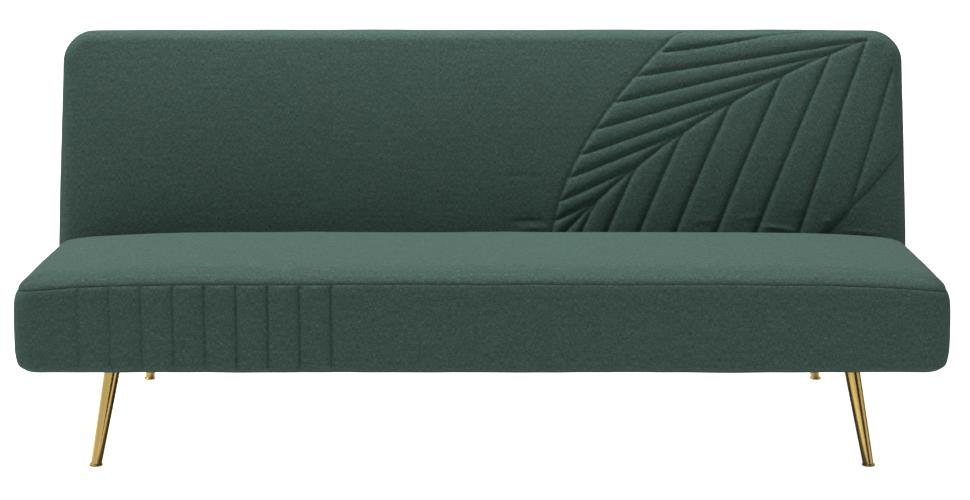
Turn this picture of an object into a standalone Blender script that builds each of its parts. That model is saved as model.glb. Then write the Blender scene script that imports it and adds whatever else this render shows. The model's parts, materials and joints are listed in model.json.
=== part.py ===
"""Click-clack futon sofa bed: armless seat, folding backrest and a steel underframe on four splayed legs.

Metres, +Z up, +X to the right of someone facing the sofa, +Y towards its back. The origin lies on the
floor under the middle of the object. The backrest stands upright, as a sofa.

The seat and the backrest are built alike, as an upholstered block: a wooden frame, webbing, foam, a
fabric cover and a sheet that closes the underside. A block is drawn in its own coordinates: x across,
y from its near end to its far end, z from its underside to the face that a person sits or leans on.
"""

from math import cos, pi, radians, sin

import bmesh
import bpy
from mathutils import Matrix, Vector

# ------------------------------------------------------------------ driving dimensions
CLEARANCE = 0.0003  # between pieces that rest on each other
RUNNING_CLEARANCE = 0.0006  # between plates that turn past each other
HOLE_CLEARANCE = 0.00035  # radial, round a pin or a bolt

WIDTH = 1.800
SEAT_DEPTH = 0.460
SEAT_THICKNESS = 0.200
SEAT_UNDERSIDE = 0.2155
BACK_LENGTH = 0.564
BACK_THICKNESS = 0.145
LEAN = radians(15.0)  # of the backrest from the vertical, as a sofa
FLAT = radians(90.0)  # the same angle, as a bed
LOUNGE = radians(45.0)  # the ratchet's middle stop
FORWARD = radians(6.0)  # how far the backrest can be pushed forward of its place as a sofa
BED_GAP = 0.010  # between the two blocks, as a bed

# the hinge's axis, from the backrest's own faces
PIVOT_BEHIND_FACE = 0.065
PIVOT_ABOVE_END = 0.085

# cover, foam and frame
CLOTH = 0.003
SEAT_CORNER, SEAT_TOP_EDGE, SEAT_LOW_EDGE = 0.045, 0.035, 0.020
BACK_CORNER, BACK_TOP_EDGE, BACK_LOW_EDGE = 0.050, 0.040, 0.040
HEM = 0.045  # how far a cover is turned in under its block
TIGHT_CORNER = 0.004
SHEET = 0.0015  # the sheet that closes an underside
RAIL_THICK = 0.028
SEAT_RAIL_HIGH = 0.060
BACK_RAIL_HIGH = 0.045
SLAT_WIDE = 0.050
SLAT_SHARE = 0.6  # a slat's height as a share of its rails'
WOOD_EDGE = 0.0015
SEAT_FRAME_SIDE = 0.050  # from the block's side to its wooden frame
FRAME_FOAM = 0.006  # how far the wooden frame's ends keep from where the low edge starts to round
FRAME_ROOM = 0.002  # between a wooden frame and the foam round it
STRAP_WIDE, STRAP_THICK = 0.060, 0.002
LONG_STRAPS, CROSS_STRAPS = 9, 3

# steel underframe
TUBE_WALL = 0.002
SIDE_TUBE_WIDE, CROSS_TUBE_WIDE, TUBE_HIGH = 0.025, 0.040, 0.020
SIDE_TUBE_START = 0.115  # from the seat's front
SIDE_TUBE_PAST_LEG = 0.028  # how far a side tube runs behind the rear leg plates
UNDER_SEAT_GAP = 0.0005
PLUG_HEAD, PLUG_DEEP = 0.003, 0.012

# legs
FOOT_FROM_SIDE = 0.1335  # from the seat's side to a foot
FRONT_FOOT = 0.130  # from the seat's front
REAR_FOOT = 0.876
SPLAY = 0.033  # how far a foot stands out from the top of its leg, each way
LEG_TOP_RADIUS, LEG_FOOT_RADIUS, LEG_WALL = 0.0162, 0.0104, 0.0015
PLATE_SIDE, PLATE_THICK, SPIGOT_LONG = 0.050, 0.004, 0.014
FOOT_RADIUS, FOOT_EDGE, FOOT_HIGH, FOOT_PLUG = 0.0130, 0.0012, 0.0042, 0.014

# ratchet hinge
BRACKET_THICK, ARM_THICK = 0.005, 0.004
HEAD_RADIUS, NOTCH_DEEP = 0.028, 0.005
NOTCH_BEFORE, NOTCH_AFTER = radians(7.2), radians(11.3)
RIM_END, RIM_STEPS = radians(140.0), 15  # how far the head's rim runs to either side of its top
STEM_HALF_TOP, STEM_HALF_FOOT = 0.016, 0.024
STEM_NECK = 0.042  # below the pivot
BRACKET_FLANGE = 0.004
ARM_BOSS, ARM_CORNER = 0.016, 0.007
ARM_TAIL = ((0.035, 0.055), (0.017, 0.055), (0.033, 0.145), (0.017, 0.145))  # ahead of the rear, above the pivot
PIVOT_RADIUS, PIVOT_FLATS, PIVOT_HEAD, PIVOT_NUT = 0.005, 0.016, 0.006, 0.007
PIVOT_SPARE = 0.001  # of the bolt past its nut
PAWL_PIN = (0.024, 0.038)  # behind and above the pivot, in the backrest's own directions
PAWL_BOSS, PAWL_TIP_HALF, PAWL_TIP_GAP = 0.007, 0.0025, 0.0008
PAWL_PIN_RADIUS, PAWL_HEAD_RADIUS, PAWL_HEAD = 0.003, 0.005, 0.0015
SPRING_TAB, SPRING_LEAF = 0.009, 0.0008
SLOT_SPARE = 0.003  # room round the hinge in the backrest
SLOT_ABOVE, SLOT_AHEAD = 0.062, 0.035  # of the pivot

# small parts
BOLT_RADIUS, BOLT_FLATS, BOLT_HEAD = 0.004, 0.013, 0.0053
BOLT_IN_WOOD = 0.045
FRONT_BOLT, REAR_BOLT = 0.150, 0.110  # from the seat's front, and from its rear
BUMPER_FROM_SIDE, BUMPER_RADIUS = 0.300, 0.015
BUMPER_GAP = 0.0005

ROUND, CORNER_STEPS, EDGE_STEPS = 24, 4, 4

# ------------------------------------------------------------------ places that follow from them
FRONT = -(REAR_FOOT + FOOT_RADIUS) / 2
SEAT_TOP = SEAT_UNDERSIDE + SEAT_THICKNESS
SEAT_FRAME_HALF = WIDTH / 2 - SEAT_FRAME_SIDE
HINGE_X = SEAT_FRAME_HALF - RAIL_THICK / 2  # the side tubes, brackets and bolts line up with the seat's rails
LEG_SPREAD = WIDTH / 2 - FOOT_FROM_SIDE
BOLT_PLACES = (("front", FRONT_BOLT), ("rear", SEAT_DEPTH - REAR_BOLT))
PIVOT = Vector((0, FRONT + SEAT_DEPTH + BED_GAP + PIVOT_ABOVE_END, SEAT_TOP - PIVOT_BEHIND_FACE))
PIVOT_FROM_REAR = BACK_THICKNESS - PIVOT_BEHIND_FACE
TUBE_TOP = SEAT_UNDERSIDE - UNDER_SEAT_GAP
TUBE_MID = TUBE_TOP - TUBE_HIGH / 2
PLATE_TOP = TUBE_TOP - TUBE_HIGH - CLEARANCE
PLATE_BOTTOM = PLATE_TOP - PLATE_THICK
LEG_TOP = PLATE_BOTTOM - CLEARANCE
BRACKET_INNER = HINGE_X - BRACKET_THICK / 2
ARM_OUTER = BRACKET_INNER - RUNNING_CLEARANCE
ARM_INNER = ARM_OUTER - ARM_THICK
BACK_FRAME_HALF = ARM_INNER - CLEARANCE
SIDES = (("left", -1), ("right", 1))
ENDS = (("front", FRONT + FRONT_FOOT, 1), ("rear", FRONT + REAR_FOOT, -1))

COLOURS = {  # base colour, roughness, metallic
    "green_fabric": ((0.045, 0.105, 0.085), 0.95, 0.0),
    "foam": ((0.86, 0.82, 0.66), 0.95, 0.0),
    "pine": ((0.62, 0.44, 0.25), 0.65, 0.0),
    "webbing": ((0.08, 0.08, 0.08), 0.9, 0.0),
    "dust_sheet": ((0.02, 0.02, 0.02), 0.95, 0.0),
    "black_steel": ((0.03, 0.03, 0.032), 0.45, 0.3),
    "zinc_steel": ((0.62, 0.62, 0.60), 0.35, 0.9),
    "brass_plate": ((0.78, 0.57, 0.23), 0.22, 1.0),
    "black_plastic": ((0.03, 0.03, 0.03), 0.6, 0.0),
    "rubber": ((0.03, 0.03, 0.03), 0.85, 0.0),
}


# ------------------------------------------------------------------ making objects
def clear_scene():
    for obj in list(bpy.data.objects):
        bpy.data.objects.remove(obj, do_unlink=True)


def material(name):
    found = bpy.data.materials.get(name)
    if found:
        return found
    made = bpy.data.materials.new(name)
    made.use_nodes = True
    colour, roughness, metallic = COLOURS[name]
    shader = made.node_tree.nodes["Principled BSDF"]
    shader.inputs["Base Color"].default_value = (*colour, 1)
    shader.inputs["Roughness"].default_value = roughness
    shader.inputs["Metallic"].default_value = metallic
    return made


def place(name, parent=None, location=(0, 0, 0), rotation=(0, 0, 0)):
    """An empty that other objects are placed by."""
    empty = bpy.data.objects.new(name, None)
    bpy.context.scene.collection.objects.link(empty)
    empty.location, empty.rotation_euler, empty.parent = location, rotation, parent
    return empty


def finish(name, bm, kind=None, parent=None, smooth=True):
    """An object from a bmesh, with its faces pointing out. With no kind, it's a hidden cutter."""
    bmesh.ops.recalc_face_normals(bm, faces=bm.faces)
    mesh = bpy.data.meshes.new(name)
    bm.to_mesh(mesh)
    bm.free()
    obj = bpy.data.objects.new(name, mesh)
    bpy.context.scene.collection.objects.link(obj)
    obj.parent = parent
    if kind:
        mesh.materials.append(material(kind))
    else:
        obj.hide_render, obj.display_type = True, "WIRE"
    if smooth:
        mesh.shade_smooth()
        mesh.set_sharp_from_angle(angle=radians(40))
    return obj


def ring_chain(name, rings, kind, parent=None, closed=False):
    """A solid through a chain of rings of points. Both ends get a cap, or the chain closes on itself."""
    bm = bmesh.new()
    rows = [[bm.verts.new(p) for p in ring] for ring in rings]
    joined = list(zip(rows, rows[1:] + rows[:1])) if closed else list(zip(rows, rows[1:]))
    for one, other in joined:
        count = len(one)
        for i in range(count):
            bm.faces.new((one[i], one[(i + 1) % count], other[(i + 1) % count], other[i]))
    if not closed:
        bm.faces.new(rows[0])
        bm.faces.new(rows[-1])
    return finish(name, bm, kind, parent)


def box(name, low, high, kind=None, parent=None, edge=0):
    bm = bmesh.new()
    bmesh.ops.create_cube(bm, size=1)
    low, high = Vector(low), Vector(high)
    for v in bm.verts:
        v.co = (low + high) / 2 + Vector(a * b for a, b in zip(v.co, high - low))
    if edge:
        bmesh.ops.bevel(bm, geom=bm.edges[:], offset=edge, segments=1, affect="EDGES")
    return finish(name, bm, kind, parent, smooth=False)


def plate(name, outline, x_low, x_high, kind, parent=None):
    """A flat plate: an outline of (y, z) points, from x_low to x_high."""
    return ring_chain(name, [[(x, y, z) for y, z in outline] for x in (x_low, x_high)], kind, parent)


def cut(obj, *cutters):
    for cutter in cutters:
        step = obj.modifiers.new("cut_" + cutter.name, "BOOLEAN")
        step.operation, step.solver, step.object = "DIFFERENCE", "EXACT", cutter


def join(obj, *others):
    for other in others:
        step = obj.modifiers.new("join_" + other.name, "BOOLEAN")
        step.operation, step.solver, step.object = "UNION", "EXACT", other


def drill(obj, name, centre, axis, radius, length):
    """Cuts a round hole: centre is the middle of its length, axis is X or Z."""
    low, high = -length / 2, length / 2
    rings = [[Vector(centre) + p for p in circle(radius, along, axis)] for along in (low, high)]
    cutter = ring_chain(name, rings, None, obj.parent)
    cut(obj, cutter)


# ------------------------------------------------------------------ outlines
def around(reach, along, axis="Z", centre=(0, 0)):
    """A ring of ROUND points about an axis, at the distance that reach gives for each angle."""
    found = []
    for k in range(ROUND):
        angle = 2 * pi * k / ROUND
        u, v = centre[0] + reach(angle) * cos(angle), centre[1] + reach(angle) * sin(angle)
        found.append(Vector((u, v, along)) if axis == "Z" else Vector((along, u, v)))
    return found


def circle(radius, along, axis="Z", centre=(0, 0)):
    return around(lambda angle: radius, along, axis, centre)


def square(side, along, axis="Z", centre=(0, 0)):
    return around(lambda a: side / 2 / max(abs(cos(a)), abs(sin(a))), along, axis, centre)


def hexagon(flats, along, axis="Z", centre=(0, 0)):
    return around(lambda a: flats / 2 / cos((a + pi / 6) % (pi / 3) - pi / 6), along, axis, centre)


def rounded_rectangle(half, near, far, z, radius):
    """A ring of points, with the same number whatever the sizes."""
    found = []
    corners = ((half, near, -90), (half, far, 0), (-half, far, 90), (-half, near, 180))
    for x, y, start in corners:
        middle = (x - radius if x > 0 else x + radius, y + radius if y == near else y - radius)
        for k in range(CORNER_STEPS + 1):
            angle = radians(start + 90 * k / CORNER_STEPS)
            found.append(Vector((middle[0] + radius * cos(angle), middle[1] + radius * sin(angle), z)))
    return found


def arc(centre, radius, start, end, steps):
    """Points on a circle in a plate's plane, with angles from its first axis, in degrees."""
    angles = [radians(start + (end - start) * k / steps) for k in range(steps + 1)]
    return [(centre[0] + radius * cos(a), centre[1] + radius * sin(a)) for a in angles]


def hull(points):
    """The convex outline round some points."""

    def half(ordered):
        kept = []
        for p in ordered:
            while len(kept) > 1 and turn(kept[-2], kept[-1], p) <= 0:
                kept.pop()
            kept.append(p)
        return kept[:-1]

    def turn(o, a, b):
        return (a[0] - o[0]) * (b[1] - o[1]) - (a[1] - o[1]) * (b[0] - o[0])

    ordered = sorted(points)
    return half(ordered) + half(ordered[::-1])


# ------------------------------------------------------------------ an upholstered block
class Block:
    """Sizes of the seat or the backrest, and the pieces that both have."""

    def __init__(self, name, parent, length, thickness, edges, frame_half, rail_high):
        self.name, self.parent = name, parent
        self.length, self.thickness = length, thickness
        self.corner, self.top_edge, self.low_edge = edges
        self.frame_half, self.rail_high = frame_half, rail_high
        self.frame_near = self.low_edge + FRAME_FOAM
        self.frame_far = length - self.frame_near
        self.frame_low = CLOTH + CLEARANCE
        self.frame_high = self.frame_low + rail_high
        self.strap_low = self.frame_high + CLEARANCE
        self.foam_roof = self.strap_low + STRAP_THICK + CLEARANCE

    def ring(self, inset, z):
        radius = max(self.corner - inset, TIGHT_CORNER)
        return rounded_rectangle(WIDTH / 2 - inset, inset, self.length - inset, z, radius)

    def skin(self, offset):
        """Rings from the underside, round the low edge and up to the top face, all moved in by offset."""
        low, top = self.low_edge - offset, self.top_edge - offset
        angles = [pi / 2 * k / EDGE_STEPS for k in range(EDGE_STEPS + 1)]
        rings = [self.ring(offset + low * (1 - sin(a)), offset + low * (1 - cos(a))) for a in angles]
        ceiling = self.thickness - offset
        rings += [self.ring(offset + top * (1 - cos(a)), ceiling - top * (1 - sin(a))) for a in angles]
        return rings

    def cover(self):
        """A fabric shell, turned in under the block and open there."""
        rings = self.skin(CLOTH)[::-1] + [self.ring(HEM, CLOTH), self.ring(HEM, 0)] + self.skin(0)
        return ring_chain(self.name + "_cover", rings, "green_fabric", self.parent)

    def foam(self):
        """A foam block with a pocket for the wooden frame."""

        def pocket(z):
            near, far = self.frame_near - FRAME_ROOM, self.frame_far + FRAME_ROOM
            return rounded_rectangle(self.frame_half + FRAME_ROOM, near, far, z, TIGHT_CORNER / 4)

        offset = CLOTH + CLEARANCE
        rings = [pocket(self.foam_roof), pocket(offset)] + self.skin(offset)
        return ring_chain(self.name + "_foam", rings, "foam", self.parent)

    def sheet(self, name, kind):
        """The thin sheet that closes the underside, inside the cover's hem."""
        inset = HEM + 2 * CLEARANCE
        rings = [self.ring(inset, z) for z in (CLEARANCE, CLEARANCE + SHEET)]
        return ring_chain(name, rings, kind, self.parent)

    def end_rails(self, names):
        half = self.frame_half - RAIL_THICK - CLEARANCE
        starts = (self.frame_near, self.frame_far - RAIL_THICK)
        for name, y in zip(names, starts):
            low, high = (-half, y, self.frame_low), (half, y + RAIL_THICK, self.frame_high)
            box(f"{self.name}_rail_{name}", low, high, "pine", self.parent, WOOD_EDGE)

    def side_rail(self, side, sign):
        xs = sorted((sign * self.frame_half, sign * (self.frame_half - RAIL_THICK)))
        low, high = (xs[0], self.frame_near, self.frame_low), (xs[1], self.frame_far, self.frame_high)
        return box(f"{self.name}_rail_{side}", low, high, "pine", self.parent, WOOD_EDGE)

    def slat(self, side, sign):
        """One of the two cross members between the end rails, at thirds of the width."""
        middle = sign * self.frame_half / 3
        inset = RAIL_THICK + CLEARANCE
        low = (middle - SLAT_WIDE / 2, self.frame_near + inset, self.frame_low)
        high = (middle + SLAT_WIDE / 2, self.frame_far - inset, self.frame_low + self.rail_high * SLAT_SHARE)
        return box(f"{self.name}_slat_{side}", low, high, "pine", self.parent, WOOD_EDGE)

    def webbing(self):
        """Elastic straps, woven both ways and fixed on top of the frame, as one mat."""
        half, near, far = self.frame_half - FRAME_ROOM, self.frame_near + FRAME_ROOM, self.frame_far - FRAME_ROOM
        xs, ys = strap_edges(-half, half, LONG_STRAPS), strap_edges(near, far, CROSS_STRAPS)
        lines_x = [-half] + [x for pair in xs for x in pair] + [half]
        lines_y = [near] + [y for pair in ys for y in pair] + [far]
        # odd intervals are straps, even ones are the gaps between them
        filled = {(i, j) for i in range(len(lines_x) - 1) for j in range(len(lines_y) - 1) if i % 2 or j % 2}
        return cell_mat(self.name + "_webbing", lines_x, lines_y, filled, self.strap_low, self.parent)

    def build(self, rail_names):
        self.cover(), self.foam(), self.webbing()
        self.end_rails(rail_names)
        for side, sign in SIDES:
            self.side_rail(side, sign)
            self.slat(side, sign)


def strap_edges(low, high, count):
    """The two edges of each of count straps, spread evenly between low and high."""
    pitch = (high - low) / (count + 1)
    return [(low + pitch * k - STRAP_WIDE / 2, low + pitch * k + STRAP_WIDE / 2) for k in range(1, count + 1)]


def cell_mat(name, lines_x, lines_y, filled, low, parent):
    """A thin mat that fills some cells of a grid, STRAP_THICK thick."""
    bm = bmesh.new()
    corners = {}

    def corner(i, j, k):
        if (i, j, k) not in corners:
            corners[i, j, k] = bm.verts.new((lines_x[i], lines_y[j], low + k * STRAP_THICK))
        return corners[i, j, k]

    for i, j in sorted(filled):
        loop = ((i, j), (i + 1, j), (i + 1, j + 1), (i, j + 1))
        beyond = ((i, j - 1), (i + 1, j), (i, j + 1), (i - 1, j))
        for k in (0, 1):
            bm.faces.new([corner(*c, k) for c in loop])
        for side, neighbour in enumerate(beyond):
            if neighbour not in filled:
                a, b = loop[side], loop[(side + 1) % 4]
                bm.faces.new((corner(*a, 0), corner(*b, 0), corner(*b, 1), corner(*a, 1)))
    return finish(name, bm, "webbing", parent, smooth=False)


# ------------------------------------------------------------------ underframe
def tube_rings(width, height, wall, start, end, turn):
    """Rings of a hollow rectangular tube: out along its outside, back along its inside."""

    def section(at, inset):
        w, h = width / 2 - inset, height / 2 - inset
        return [turn @ Vector((x, at, z)) for x, z in ((-w, -h), (w, -h), (w, h), (-w, h))]

    return [section(start, 0), section(end, 0), section(end, wall), section(start, wall)]


def side_tube_ends():
    return FRONT + SIDE_TUBE_START, FRONT + REAR_FOOT - SPLAY + SIDE_TUBE_PAST_LEG


def side_tube(side, sign):
    turn = Matrix.Translation((sign * HINGE_X, 0, TUBE_MID))
    rings = tube_rings(SIDE_TUBE_WIDE, TUBE_HIGH, TUBE_WALL, *side_tube_ends(), turn)
    tube = ring_chain("base_side_rail_" + side, rings, "black_steel", closed=True)
    for place_name, back in BOLT_PLACES:
        centre = (sign * HINGE_X, FRONT + back, TUBE_MID)
        drill(tube, f"hole_{place_name}_{side}_tube", centre, "Z", BOLT_RADIUS + HOLE_CLEARANCE, 2 * TUBE_HIGH)


def cross_tube(end, foot_y, inward):
    half = HINGE_X - SIDE_TUBE_WIDE / 2 - CLEARANCE
    turn = Matrix.Translation((0, foot_y + inward * SPLAY, TUBE_MID)) @ Matrix.Rotation(-pi / 2, 4, "Z")
    rings = tube_rings(CROSS_TUBE_WIDE, TUBE_HIGH, TUBE_WALL, -half, half, turn)
    ring_chain(f"base_{end}_rail", rings, "black_steel", closed=True)


def tube_plug(end, side, sign):
    """A plastic plug in an open end of a side tube."""
    start, stop = side_tube_ends()
    at, outward = (start, -1) if end == "front" else (stop, 1)
    half = SIDE_TUBE_WIDE / 2, TUBE_HIGH / 2
    inner = [h - TUBE_WALL - CLEARANCE for h in half]

    def section(y, w, h):
        corners = ((-w, -h), (w, -h), (w, h), (-w, h))
        return [(sign * HINGE_X + x, y, TUBE_MID + z) for x, z in corners]

    near, face = at + outward * CLEARANCE, at + outward * (CLEARANCE + PLUG_HEAD)
    rings = [section(at - outward * PLUG_DEEP, *inner), section(near, *inner)]
    rings += [section(near, *half), section(face, *half)]
    ring_chain(f"rail_plug_{end}_{side}", rings, "black_plastic")


# ------------------------------------------------------------------ legs
def leg_centre(foot, top, z):
    """The middle of a leg at a height, on the straight line from its foot to its top."""
    share = z / LEG_TOP
    return foot[0] + (top[0] - foot[0]) * share, foot[1] + (top[1] - foot[1]) * share


def leg(end, foot_y, inward, side, sign):
    """A mounting plate, a tapered tube and a foot, all cut level at their ends."""
    label = f"{end}_{side}"
    foot = (sign * LEG_SPREAD, foot_y)
    top = (sign * (LEG_SPREAD - SPLAY), foot_y + inward * SPLAY)

    def radius(z):
        return LEG_FOOT_RADIUS + (LEG_TOP_RADIUS - LEG_FOOT_RADIUS) * z / LEG_TOP

    def at(z, size):
        return circle(size, z, centre=leg_centre(foot, top, z))

    spigot = PLATE_BOTTOM - SPIGOT_LONG
    spigot_radius = radius(spigot) - LEG_WALL - 2 * CLEARANCE
    plate_rings = [square(PLATE_SIDE, z, centre=top) for z in (PLATE_TOP, PLATE_BOTTOM)]
    plate_rings += [circle(spigot_radius, PLATE_BOTTOM, centre=top), at(spigot, spigot_radius)]
    ring_chain("leg_plate_" + label, plate_rings, "brass_plate")

    ends = (FOOT_HIGH + CLEARANCE, LEG_TOP)
    tube_outside = [at(z, radius(z)) for z in ends]
    tube_inside = [at(z, radius(z) - LEG_WALL) for z in ends[::-1]]
    ring_chain("leg_tube_" + label, tube_outside + tube_inside, "brass_plate", closed=True)

    plug = radius(ends[0]) - LEG_WALL - 2 * CLEARANCE
    foot_rings = [circle(FOOT_RADIUS - FOOT_EDGE, 0, centre=foot), circle(FOOT_RADIUS, FOOT_EDGE, centre=foot)]
    foot_rings += [circle(FOOT_RADIUS, FOOT_HIGH - FOOT_EDGE, centre=foot)]
    foot_rings += [circle(FOOT_RADIUS - FOOT_EDGE, FOOT_HIGH, centre=foot)]
    foot_rings += [at(FOOT_HIGH, plug), at(FOOT_HIGH + FOOT_PLUG, plug)]
    ring_chain("leg_foot_" + label, foot_rings, "brass_plate")


# ------------------------------------------------------------------ bolts and bumpers
def seat_bolt(label, x, y, seat_rail, dust_sheet):
    """A hex bolt up through a side tube and the dust sheet into the seat's wooden frame."""
    head_top = TUBE_TOP - TUBE_HIGH - CLEARANCE
    tip = SEAT_UNDERSIDE + BOLT_IN_WOOD
    rings = [hexagon(BOLT_FLATS, z, centre=(x, y)) for z in (head_top - BOLT_HEAD, head_top)]
    rings += [circle(BOLT_RADIUS, z, centre=(x, y)) for z in (head_top, tip)]
    ring_chain("seat_bolt_" + label, rings, "zinc_steel")
    middle = (x, y - FRONT, (tip - SEAT_UNDERSIDE) / 2 + CLEARANCE)
    for obj, what in ((seat_rail, "wood"), (dust_sheet, "sheet")):
        drill(obj, f"hole_{label}_{what}", middle, "Z", BOLT_RADIUS + HOLE_CLEARANCE, 1.1 * BOLT_IN_WOOD)


def bumper(side, sign):
    """A rubber post on the rear tube, which the backrest lies on as a bed."""
    low, high = TUBE_TOP + CLEARANCE, PIVOT.z - PIVOT_FROM_REAR - BUMPER_GAP
    centre = (sign * (WIDTH / 2 - BUMPER_FROM_SIDE), FRONT + REAR_FOOT - SPLAY)
    rings = [circle(BUMPER_RADIUS, low, centre=centre), circle(BUMPER_RADIUS * 0.85, high, centre=centre)]
    ring_chain("bumper_" + side, rings, "rubber")


# ------------------------------------------------------------------ ratchet hinge
def bracket_outline():
    """The fixed bracket, from the pivot: a stem under a round head, with a notch for each stop."""
    foot = TUBE_TOP + CLEARANCE - PIVOT.z
    inner = HEAD_RADIUS - NOTCH_DEEP
    # the sofa notch runs on forwards, so that the backrest can be pushed forward with the pawl in it
    notches = [(FLAT + NOTCH_AFTER, FLAT - NOTCH_BEFORE), (LOUNGE + NOTCH_AFTER, LOUNGE - NOTCH_BEFORE)]
    notches += [(LEAN + NOTCH_AFTER, LEAN - NOTCH_BEFORE - FORWARD)]
    rim = []
    for start, end in notches:
        rim += [(start, HEAD_RADIUS), (start, inner), (end, inner), (end, HEAD_RADIUS)]
    for k in range(RIM_STEPS + 1):
        angle = RIM_END * (1 - 2 * k / RIM_STEPS)
        if not any(end < angle < start for start, end in notches):
            rim.append((angle, HEAD_RADIUS))
    # from the back of the head, over its top and down its front
    rim = sorted(rim, key=lambda spot: -spot[0])
    points = [(STEM_HALF_FOOT, foot), (STEM_HALF_TOP, -STEM_NECK)]
    points += [(r * sin(a), r * cos(a)) for a, r in rim]
    return points + [(-STEM_HALF_TOP, -STEM_NECK), (-STEM_HALF_FOOT, foot)]


def pivot_bracket(side, sign):
    """A steel plate that stands on a side tube. The flange along its foot is welded down."""
    outline = [(y + PIVOT.y, z + PIVOT.z) for y, z in bracket_outline()]
    xs = sorted((sign * BRACKET_INNER, sign * (BRACKET_INNER + BRACKET_THICK)))
    bracket = plate("pivot_bracket_" + side, outline, *xs, "zinc_steel")
    low = TUBE_TOP + CLEARANCE
    half = SIDE_TUBE_WIDE / 2
    flange_low = (sign * HINGE_X - half, PIVOT.y - STEM_HALF_FOOT - half, low)
    flange_high = (sign * HINGE_X + half, PIVOT.y + STEM_HALF_FOOT + half, low + BRACKET_FLANGE)
    join(bracket, box("flange_" + side, flange_low, flange_high))
    drill(bracket, "hole_bracket_" + side, (xs[0], *PIVOT.yz), "X", PIVOT_RADIUS + HOLE_CLEARANCE, 0.04)


def pivot_bolt(side, sign):
    """The hinge's axle: a hex bolt from the inner side through arm and bracket, and its nut."""
    head_face = ARM_INNER - CLEARANCE
    nut_face = BRACKET_INNER + BRACKET_THICK + CLEARANCE
    centre = tuple(PIVOT.yz)
    rings = [hexagon(PIVOT_FLATS, sign * x, "X", centre) for x in (head_face - PIVOT_HEAD, head_face)]
    tip = nut_face + PIVOT_NUT + PIVOT_SPARE
    rings += [circle(PIVOT_RADIUS, sign * x, "X", centre) for x in (head_face, tip)]
    ring_chain("pivot_bolt_" + side, rings, "zinc_steel")

    bore = PIVOT_RADIUS + HOLE_CLEARANCE
    outside = [hexagon(PIVOT_FLATS, sign * x, "X", centre) for x in (nut_face, nut_face + PIVOT_NUT)]
    inside = [circle(bore, sign * x, "X", centre) for x in (nut_face + PIVOT_NUT, nut_face)]
    ring_chain("pivot_nut_" + side, outside + inside, "zinc_steel", closed=True)


def hinge_arm(side, sign, parent):
    """The plate that turns about the pivot and is fixed to a wooden side rail of the backrest."""
    spots = arc((0, 0), ARM_BOSS, 0, 360, ROUND)
    for ahead, above in ARM_TAIL:
        spots += arc((PIVOT_FROM_REAR - ahead, above), ARM_CORNER, 0, 360, ROUND // 2)
    rounded = {(round(y, 6), round(z, 6)) for y, z in spots}
    arm = plate("hinge_arm_" + side, hull(rounded), *sorted((sign * ARM_INNER, sign * ARM_OUTER)), "zinc_steel", parent)
    for name, centre, radius in (("pivot", (0, 0), PIVOT_RADIUS), ("pawl", PAWL_PIN, PAWL_PIN_RADIUS)):
        drill(arm, f"hole_arm_{name}_{side}", (sign * ARM_INNER, *centre), "X", radius + HOLE_CLEARANCE, 0.03)


def pawl(side, sign, parent):
    """The tooth that drops into a notch. Its origin is its pin, and it is drawn lifted, clear of the rim."""
    empty = place("pawl_axis_" + side, parent, (sign * HINGE_X, *PAWL_PIN))
    tip_z = HEAD_RADIUS + PAWL_TIP_GAP
    body_low, body_high = tip_z + 0.006, tip_z + 0.0135
    points = [(-PAWL_TIP_HALF, tip_z), (PAWL_TIP_HALF, tip_z), (PAWL_TIP_HALF + 0.0005, body_low)]
    points += arc(PAWL_PIN, PAWL_BOSS, -115, 95, 14) + [(-PAWL_TIP_HALF, body_high)]
    outline = [(y - PAWL_PIN[0], z - PAWL_PIN[1]) for y, z in points]
    half = BRACKET_THICK / 2
    tooth = plate("pawl_" + side, outline, -half, half, "zinc_steel", empty)
    drill(tooth, "hole_pawl_" + side, (0, 0, 0), "X", PAWL_PIN_RADIUS + HOLE_CLEARANCE, 0.02)


def pawl_pin(side, sign, parent):
    inner, outer = ARM_INNER - CLEARANCE, BRACKET_INNER + BRACKET_THICK + CLEARANCE
    rings = [circle(PAWL_PIN_RADIUS, sign * x, "X", PAWL_PIN) for x in (inner, outer)]
    rings += [circle(PAWL_HEAD_RADIUS, sign * x, "X", PAWL_PIN) for x in (outer, outer + PAWL_HEAD)]
    ring_chain("pawl_pin_" + side, rings, "zinc_steel", parent)


def pawl_spring(side, sign, parent):
    """A leaf spring: a tab on the arm, and a thin leaf over the pawl's back that pushes it in."""
    y, z = PAWL_PIN[0] + 0.017, PAWL_PIN[1] + 0.012
    leaf_y, leaf_z = -PAWL_TIP_HALF, HEAD_RADIUS + PAWL_TIP_GAP + 0.0150
    middle = z + SPRING_TAB / 2
    points = [(y + SPRING_TAB, z), (y + SPRING_TAB, z + SPRING_TAB), (y, z + SPRING_TAB)]
    points += [(y, middle + SPRING_LEAF), (leaf_y, leaf_z + SPRING_LEAF), (leaf_y, leaf_z)]
    points += [(y, middle), (y, z)]
    xs = sorted((sign * (ARM_OUTER + CLEARANCE), sign * (BRACKET_INNER + BRACKET_THICK)))
    plate("pawl_spring_" + side, points, *xs, "zinc_steel", parent)


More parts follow.
